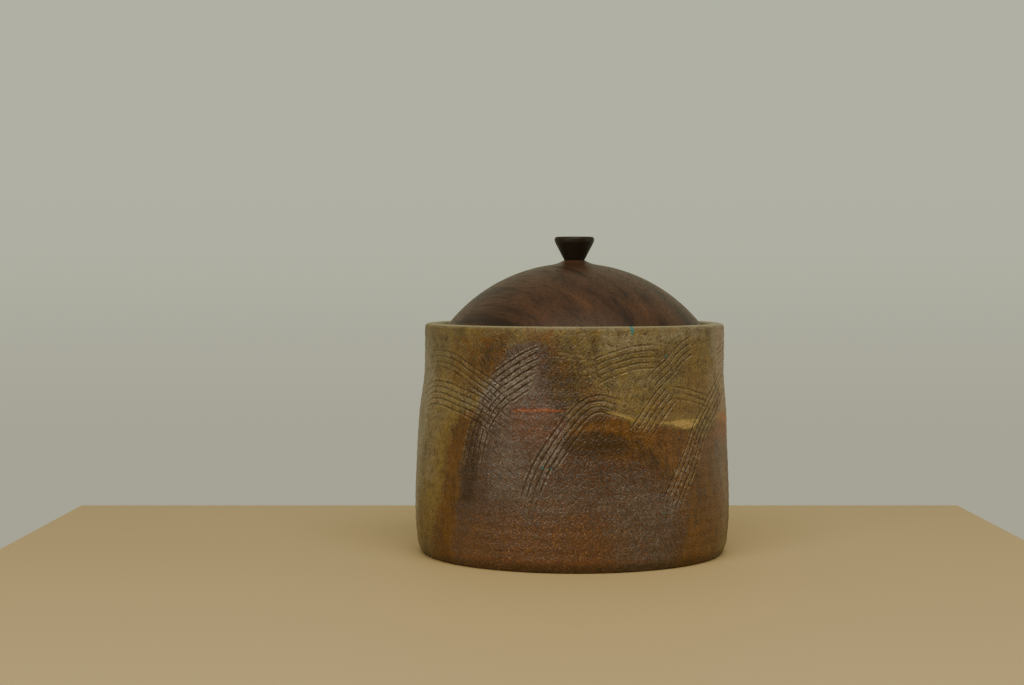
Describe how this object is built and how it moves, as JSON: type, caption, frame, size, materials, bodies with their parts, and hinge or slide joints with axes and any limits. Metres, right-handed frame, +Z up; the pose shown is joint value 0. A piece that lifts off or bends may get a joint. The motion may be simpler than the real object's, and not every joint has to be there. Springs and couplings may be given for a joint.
{
  "type": "lidded jar",
  "caption": "Round glazed stoneware jar with combed decoration and a sunken ledge that holds a loose, domed, turned wooden lid with a small dark conical knob.",
  "frame": {"origin": "centre of the jar's base, on the surface that it stands on", "axes": "+Z up along the jar's axis, through the lid and its knob; -Y faces the picture's camera and +X lies to its right"},
  "size_m": [0.1906, 0.1904, 0.1901],
  "materials": {
    "stoneware": "mottled glossy to satin glaze, olive and amber above, rust brown below",
    "lid_wood": "dark reddish brown hardwood, oiled to a soft satin",
    "knob_wood": "near-black close-grained hardwood, polished"
  },
  "bodies": {
    "jar": {"jar_body": "stoneware"},
    "lid": {"lid": "lid_wood", "knob": "knob_wood"}
  },
  "joints": [
    {"name": "lid_lift", "type": "slide", "parent": "jar", "child": "lid", "axis": [0, 0, 1], "range_m": [0, 0.12]}
  ]
}
